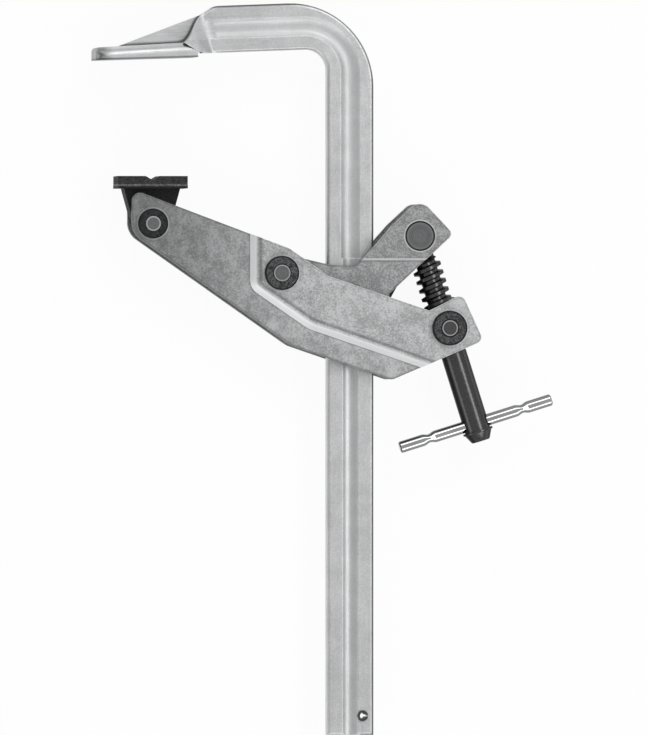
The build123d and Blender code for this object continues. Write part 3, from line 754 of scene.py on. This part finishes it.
def flank_run(sizes):
    """Length along the screw of the thread's sloping flank."""
    return (sizes.thread_diameter - sizes.thread_core) / 2 * math.tan(FLANK_ANGLE)


def thread_radius(sizes, along):
    """The thread's radius at a distance along one pitch, measured from the crest's middle."""
    pitch = sizes.thread_pitch
    offset = abs((along + pitch / 2) % pitch - pitch / 2)
    core, top = sizes.thread_core / 2, sizes.thread_diameter / 2
    drop = min(max((offset - sizes.thread_crest / 2) / flank_run(sizes), 0), 1)
    return top - (top - core) * drop


def profile_places(sizes):
    """Places of the grid's rows along one pitch, close together at the crest and its flanks."""
    crest = sizes.thread_crest / 2
    flank = flank_run(sizes)
    half = [
        0, crest - CREST_ROUNDING, crest, crest + flank / 2, crest + flank, sizes.thread_pitch / 2
    ]
    return sorted({-place for place in half} | set(half[:-1]))


def spindle_rows(sizes):
    """The plain rows before and after the thread: each is a place along the axis and a radius."""
    tip, end = reach("spindle", SCREW_AXIS)
    thread_end = sizes.thread_start + sizes.thread_length
    tip_radius, shank_radius = sizes.tip_diameter / 2, sizes.shank_diameter / 2
    core = sizes.thread_core / 2
    chamfer = SPINDLE_CHAMFER
    flange_place = sizes.bar_place + sizes.bar_hole / 2 + HOLE_WALL
    cone_start = flange_place + sizes.flange_thickness
    flange_radius, end_radius = sizes.flange_diameter / 2, sizes.end_face / 2
    before = [
        (tip, 0), (tip, tip_radius - 2 * chamfer), (tip + 2 * chamfer, tip_radius),
        (sizes.thread_start - chamfer, tip_radius), (sizes.thread_start, core),
    ]
    after = [
        (thread_end, core), (thread_end, shank_radius - chamfer),
        (thread_end + chamfer, shank_radius), (flange_place, shank_radius),
        (flange_place, flange_radius - chamfer / 2), (flange_place + chamfer / 2, flange_radius),
        (cone_start - chamfer / 2, flange_radius), (cone_start, flange_radius - chamfer),
        (cone_start, flange_radius - 2 * chamfer), (end - chamfer, end_radius + chamfer),
        (end, end_radius), (end, 0),
    ]
    return before, after


def spindle_form(sizes):
    """Makes the spindle as one closed grid round its axis."""
    before, after = spindle_rows(sizes)
    pitch = sizes.thread_pitch
    start, stop = sizes.thread_start, sizes.thread_start + sizes.thread_length
    core = sizes.thread_core / 2
    turns = math.ceil(sizes.thread_length / pitch) + 2
    places = [
        start + (turn - 0.5) * pitch + place
        for turn in range(turns) for place in profile_places(sizes)
    ]
    run_out = pitch / 2

    def point(along, radius, angle):
        outward = BAR_AXIS * math.cos(angle) + UP * math.sin(angle)
        return SEAT + SCREW_AXIS * along + outward * radius

    def plain_row(form, along, radius):
        return [form.verts.new(point(along, radius, angle)) for angle in around(TURN_STEPS)]

    def thread_row(form, place):
        """A row that climbs by one pitch in its turn, and sinks to the core at both ends."""
        height = thread_radius(sizes, place - start) - core
        row = []
        for step, angle in enumerate(around(TURN_STEPS)):
            along = min(max(place + pitch * step / TURN_STEPS, start), stop)
            shrink = max(min((along - start) / run_out, (stop - along) / run_out, 1), 0)
            row.append(form.verts.new(point(along, core + height * shrink, angle)))
        return row

    def build(form):
        rows = [plain_row(form, *row) for row in before]
        rows += [thread_row(form, place) for place in places]
        rows += [plain_row(form, *row) for row in after]
        skin(form, rows)

    return build


def bore_cross_hole(piece, centre, diameter, depth):
    """Cuts the round hole for the tommy bar."""
    drill = add_object("drill", mesh_from("drill", lambda form: bmesh.ops.create_cone(
        form, cap_ends=True, segments=HOLE_SIDES, radius1=diameter / 2, radius2=diameter / 2,
        depth=depth,
    )))
    turn = BAR_AXIS.to_track_quat("Z", "Y").to_matrix().to_4x4()
    drill.matrix_world = Matrix.Translation(centre) @ turn
    cut = piece.modifiers.new("cross_hole", "BOOLEAN")
    cut.object = drill
    cut.operation = "DIFFERENCE"
    cut.solver = "EXACT"
    bpy.context.view_layer.update()
    shaped = piece.evaluated_get(bpy.context.evaluated_depsgraph_get())
    bored = bpy.data.meshes.new_from_object(shaped)
    piece.modifiers.clear()
    piece.data = bored
    bored.set_sharp_from_angle(angle=SMOOTH_ANGLE)
    bpy.data.objects.remove(drill)


# The tommy bar

BAR_SIDES = 32
BAR_CHAMFER = 0.8 * MM
CRIMP_STEPS = 12


def tommy_bar_form(sizes):
    """Makes the round bar, flattened by a crimp near each end."""
    near, far = reach("tommy_bar", BAR_AXIS)
    centre = SEAT + SCREW_AXIS * sizes.bar_place
    half = (far - near) / 2
    radius = sizes.bar_diameter / 2
    run = sizes.bar_crimp_run / 2
    crimp = [
        (sizes.bar_crimp + run * (2 * step / CRIMP_STEPS - 1), 1.0)
        for step in range(CRIMP_STEPS + 1)
    ]
    # Each row is a place along the bar and a share of its radius
    outward = [
        (0.0, 1.0), *crimp, (half - BAR_CHAMFER, 1.0), (half, 1 - BAR_CHAMFER / radius), (half, 0.0)
    ]
    rows = [(-place, scale) for place, scale in reversed(outward[1:])] + outward

    def ring(form, place, scale):
        pinch = math.cos(min(abs(abs(place) - sizes.bar_crimp) / run, 1) * math.pi) / 2 + 0.5
        thin = radius + (sizes.bar_neck / 2 - radius) * pinch
        wide = radius + (sizes.bar_spread / 2 - radius) * pinch
        return [
            form.verts.new(
                centre + BAR_AXIS * place
                + (SCREW_AXIS * math.cos(angle) * thin + UP * math.sin(angle) * wide) * scale
            )
            for angle in around(BAR_SIDES)
        ]

    return lambda form: skin(form, [ring(form, *row) for row in rows])


# The stage

CLAMP_MIDDLE = Vector((0.1, -0.2, 0))
PICTURE_MIDDLE = Vector((0.1172, -0.2076, 0))
# In millimetres, as the camera's lens is
SENSOR_WIDTH = 36.0
FARTHEST_SEEN = 60
FLOOR_RADIUS = 6
FLOOR_SIDES = 96
FLOOR_GAP = 0.05 * MM
FLOOR_PAINT = (0.86, 0.86, 0.86, 1)

# Name, place from the clamp's middle, sizes in metres and power in watts
LAMPS = (
    ("right", (0.75, 0.2, 1.35), (2.4, 0.4), 8),
    ("left", (-1.4, -0.9, 0.6), (1.6, 0.6), 4),
)


def place_camera(stage):
    """Sets the camera above the clamp, at the photograph's angle."""
    right = Vector((math.cos(stage.turn), 0, math.sin(stage.turn)))
    up = Vector((0, 1, 0))
    back = right.cross(up)
    distance = stage.frame_height * stage.lens / SENSOR_WIDTH
    data = bpy.data.cameras.new("camera")
    data.sensor_width = SENSOR_WIDTH
    data.lens = stage.lens
    data.clip_end = FARTHEST_SEEN
    camera = add_object("camera", data)
    axes = Matrix((right, up, back)).transposed().to_4x4()
    camera.matrix_world = Matrix.Translation(PICTURE_MIDDLE + back * distance) @ axes
    bpy.context.scene.camera = camera


def floor_material(stage):
    """White paint that looks evenly lit to the camera, but takes a faint shadow."""
    material = bpy.data.materials.new("pale_floor")
    nodes = Nodes(material)
    output = nodes.tree.nodes.new("ShaderNodeOutputMaterial")
    paint = nodes.tree.nodes.new("ShaderNodeBsdfDiffuse")
    glow = nodes.tree.nodes.new("ShaderNodeEmission")
    path = nodes.tree.nodes.new("ShaderNodeLightPath").outputs
    mixed = nodes.tree.nodes.new("ShaderNodeMixShader")
    seen = nodes.chain(
        "MAXIMUM", path["Is Camera Ray"], path["Is Glossy Ray"], path["Is Transmission Ray"]
    )
    nodes.join(FLOOR_PAINT, paint.inputs["Color"])
    nodes.join(nodes.product(seen, stage.floor_white), mixed.inputs[0])
    nodes.join(paint.outputs[0], mixed.inputs[1])
    nodes.join(glow.outputs[0], mixed.inputs[2])
    nodes.join(mixed.outputs[0], output.inputs["Surface"])
    return material


def lay_floor(stage):
    """A wide pale floor at the clamp's lowest point."""
    floor = add_object("floor", mesh_from("floor", lambda form: bmesh.ops.create_circle(
        form, cap_ends=True, segments=FLOOR_SIDES, radius=FLOOR_RADIUS
    )))
    floor.location = (CLAMP_MIDDLE.x, CLAMP_MIDDLE.y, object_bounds()[0].z - FLOOR_GAP)
    floor.data.materials.append(floor_material(stage))
    floor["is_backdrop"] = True


def light_world(stage):
    """The studio: white low down, grey overhead, and a soft box up at either end."""
    world = bpy.data.worlds.new("studio")
    bpy.context.scene.world = world
    nodes = Nodes(world)
    output = nodes.tree.nodes.new("ShaderNodeOutputWorld")
    sky = nodes.tree.nodes.new("ShaderNodeBackground")
    _, y, z = nodes.split(nodes.coordinates.outputs["Generated"])
    aside = nodes.absolute(y)
    box = nodes.product(
        nodes.range(aside, 0.5, 0.62),
        nodes.range(aside, 0.78, 0.86, 1.0, 0.0),
        nodes.range(z, 0.3, 0.45),
    )
    light = nodes.range(box, 0.0, 1.0, stage.overhead, stage.soft_boxes)
    horizon = nodes.range(z, 0.05, 0.12, 1.0, 0.0)
    nodes.join(nodes.mix(horizon, nodes.grey(light), (1.0, 1.0, 1.0)), sky.inputs["Color"])
    nodes.join(stage.sky_level, sky.inputs["Strength"])
    nodes.join(sky.outputs[0], output.inputs["Surface"])


def hang_lamp(name, place, size, power):
    """A soft rectangular lamp aimed at the clamp's middle."""
    data = bpy.data.lights.new(name, "AREA")
    data.shape = "RECTANGLE"
    data.size, data.size_y = size
    data.energy = power
    lamp = add_object(name, data)
    lamp.location = place
    lamp.rotation_mode = "QUATERNION"
    lamp.rotation_quaternion = (CLAMP_MIDDLE - place).to_track_quat("-Z", "Y")


# Operators

# Radius of the seat's end in its cheek
SEAT_RADIUS = 10 * MM

# A pin's riveted end has this share of the pin's radius, and a painted highlight rim
PIN_END_SHARE = 0.8
RIM_WIDTH = 0.9 * MM

# Radii where the nut's painted highlight rim starts, and the rubbed ring of its washers
NUT_RIM = 4.4 * MM
NUT_RING = 6 * MM
# Share of wear and painted highlight along the washers' edges
WASHER_EDGE_WEAR_AND_LIGHT = 0.2


class CLAMP_OT_rail(bpy.types.Operator):
    """Finishes the forged rail with its claw, and the stop pin near its end"""

    bl_idname = "clamp.rail"
    bl_label = "Finish Rail"
    bl_options = {"REGISTER", "UNDO"}

    def execute(self, context):
        colours = context.scene.clamp_colours
        zinc = forged_zinc(colours)
        pin = turned_face(colours, "stop_pin_steel", middle("stop_pin"), colours.worn_black)
        dress(["rail"], zinc)
        dress(["stop_pin"], pin)
        return {"FINISHED"}


class CLAMP_OT_slider(bpy.types.Operator):
    """Finishes the slider: its two cheeks, and the blocks, rivets and spacer between them"""

    bl_idname = "clamp.slider"
    bl_label = "Finish Slider"
    bl_options = {"REGISTER", "UNDO"}

    def execute(self, context):
        colours = context.scene.clamp_colours
        # Painted light: the low part's left and right ends, then the raised part
        sheet = galvanised(
            colours, "cheek_sheet", raised_height=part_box("cheek_front")[1].z,
            painted_light=(0.75, 0.75, 0.67), contrast=3.0, pins=[(middle("screw_seat"), SEAT_RADIUS)],
        )
        black = black_oxide(colours, "block_black")
        dress(["cheek_front", "cheek_back", "front_rivet", "rear_rivet"], sheet)
        dress(["front_block", "rear_block", "pivot_spacer"], black)
        return {"FINISHED"}


class CLAMP_OT_arm(bpy.types.Operator):
    """Finishes the two pressed plates of the lever arm"""

    bl_idname = "clamp.arm"
    bl_label = "Finish Arm"
    bl_options = {"REGISTER", "UNDO"}

    def execute(self, context):
        washers = ("pad_pin_washer_front", "arm_pivot_washer_front", "nut_washer_front")
        # Painted light: the low part's left and right ends, then the raised part
        sheet = galvanised(
            context.scene.clamp_colours, "arm_sheet", raised_height=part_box("arm_plate_front")[1].z,
            painted_light=(0.53, 0.98, 1.06), contrast=1.8,
            pins=[(middle(washer), radius_of(washer)) for washer in washers],
        )
        dress(["arm_plate_front", "arm_plate_back"], sheet)
        return {"FINISHED"}


class CLAMP_OT_pins(bpy.types.Operator):
    """Finishes the arm's pins and their washers"""

    bl_idname = "clamp.pins"
    bl_label = "Finish Pins"
    bl_options = {"REGISTER", "UNDO"}

    def execute(self, context):
        colours = context.scene.clamp_colours
        pins = (("arm_pivot_pin", "arm_pivot_washer", 1.15), ("pad_pin", "pad_pin_washer", 0.3))
        for pin, washer, wear in pins:
            rim = PIN_END_SHARE * radius_of(pin) - RIM_WIDTH
            steel = turned_face(colours, f"{pin}_steel", middle(pin), colours.turned, rim)
            ring = (middle(pin), rim + 1.2 * MM, radius_of(f"{washer}_front") - 0.7 * MM)
            black = black_oxide(colours, f"{washer}_black", wear, WASHER_EDGE_WEAR_AND_LIGHT, ring)
            dress([pin], steel)
            dress([f"{washer}_front", f"{washer}_back"], black)
        return {"FINISHED"}


class CLAMP_OT_screw_seats(bpy.types.Operator):
    """Finishes the screw's seat with its ring, and the nut with its washers"""

    bl_idname = "clamp.screw_seats"
    bl_label = "Finish Seat and Nut"
    bl_options = {"REGISTER", "UNDO"}

    def execute(self, context):
        colours = context.scene.clamp_colours
        nut_middle = middle("trunnion_nut")
        seat = turned_face(
            colours, "seat_steel", middle("screw_seat"), colours.turned, edge=SEAT_RADIUS
        )
        nut = turned_face(colours, "nut_steel", nut_middle, colours.worn_black, rim=NUT_RIM)
        ring = (nut_middle, NUT_RING, radius_of("nut_washer_front") - 0.8 * MM)
        black = black_oxide(colours, "nut_washer_black", 0.95, WASHER_EDGE_WEAR_AND_LIGHT, ring)
        dress(["screw_seat"], seat)
        dress(["trunnion_nut"], nut)
        dress(["nut_washer_front", "nut_washer_back", "snap_ring"], black)
        return {"FINISHED"}


class CLAMP_OT_spindle(bpy.types.Operator):
    """Makes the screw spindle with its trapezoidal thread and its cross hole"""

    bl_idname = "clamp.spindle"
    bl_label = "Make Spindle"
    bl_options = {"REGISTER", "UNDO"}

    def execute(self, context):
        sizes = context.scene.clamp_sizes
        piece = piece_from(
            "threaded_spindle", spindle_form(sizes), "screw",
            oiled_black(context.scene.clamp_colours), "spindle",
        )
        bore_cross_hole(
            piece, SEAT + SCREW_AXIS * sizes.bar_place, sizes.bar_hole, 2 * sizes.flange_diameter
        )
        return {"FINISHED"}


class CLAMP_OT_tommy_bar(bpy.types.Operator):
    """Makes the bright tommy bar with its two crimps"""

    bl_idname = "clamp.tommy_bar"
    bl_label = "Make Tommy Bar"
    bl_options = {"REGISTER", "UNDO"}

    def execute(self, context):
        piece_from(
            "crimped_bar", tommy_bar_form(context.scene.clamp_sizes), "handle",
            polished(context.scene.clamp_colours), "tommy_bar",
        )
        return {"FINISHED"}


class CLAMP_OT_pad(bpy.types.Operator):
    """Finishes the black swivel pad"""

    bl_idname = "clamp.pad"
    bl_label = "Finish Pad"
    bl_options = {"REGISTER", "UNDO"}

    def execute(self, context):
        plate_thickness = 6 * MM
        # A painted highlight line runs along the bottom of the pad's plate
        black = black_oxide(
            context.scene.clamp_colours, "pad_black", wear=0.45, edge_wear_and_light=0.9,
            line=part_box("swivel_pad")[1].y - plate_thickness,
        )
        dress(["swivel_pad"], black)
        return {"FINISHED"}


class CLAMP_OT_stage(bpy.types.Operator):
    """Lays the pale floor, and sets the soft light and the camera"""

    bl_idname = "clamp.stage"
    bl_label = "Set Stage"
    bl_options = {"REGISTER", "UNDO"}

    def execute(self, context):
        stage = context.scene.clamp_stage
        lay_floor(stage)
        light_world(stage)
        for name, offset, size, power in LAMPS:
            hang_lamp(name, CLAMP_MIDDLE + Vector(offset), size, power * stage.lamp_level)
        place_camera(stage)
        context.scene.view_settings.view_transform = "Standard"
        return {"FINISHED"}


class CLAMP_PT_panel(bpy.types.Panel):
    """Lists the steps that dress the clamp, and its sizes and colours"""

    bl_idname = "CLAMP_PT_panel"
    bl_label = "Claw Clamp"
    bl_space_type = "VIEW_3D"
    bl_region_type = "UI"
    bl_category = "Clamp"

    def draw(self, context):
        column = self.layout.column(align=True)
        for step in STEPS:
            column.operator(step.bl_idname)
        for name, group in GROUPS.items():
            box = self.layout.box()
            for setting in group.__annotations__:
                box.prop(getattr(context.scene, name), setting)


GROUPS = {"clamp_sizes": ClampSizes, "clamp_colours": ClampColours, "clamp_stage": ClampStage}
STEPS = (
    CLAMP_OT_rail,
    CLAMP_OT_slider,
    CLAMP_OT_arm,
    CLAMP_OT_pins,
    CLAMP_OT_screw_seats,
    CLAMP_OT_spindle,
    CLAMP_OT_tommy_bar,
    CLAMP_OT_pad,
    CLAMP_OT_stage,
)


def register():
    """Registers the settings, the steps and the panel."""
    for name, group in GROUPS.items():
        bpy.utils.register_class(group)
        setattr(bpy.types.Scene, name, bpy.props.PointerProperty(type=group))
    for step in (*STEPS, CLAMP_PT_panel):
        bpy.utils.register_class(step)


def unregister():
    """Takes back what register did, in reverse."""
    for step in (CLAMP_PT_panel, *reversed(STEPS)):
        bpy.utils.unregister_class(step)
    for name, group in GROUPS.items():
        delattr(bpy.types.Scene, name)
        bpy.utils.unregister_class(group)


def main():
    """Registers the add-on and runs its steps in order."""
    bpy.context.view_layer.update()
    register()
    bpy.ops.clamp.rail()
    bpy.ops.clamp.slider()
    bpy.ops.clamp.arm()
    bpy.ops.clamp.pins()
    bpy.ops.clamp.screw_seats()
    bpy.ops.clamp.spindle()
    bpy.ops.clamp.tommy_bar()
    bpy.ops.clamp.pad()
    bpy.ops.clamp.stage()


if __name__ == "__main__":
    main()
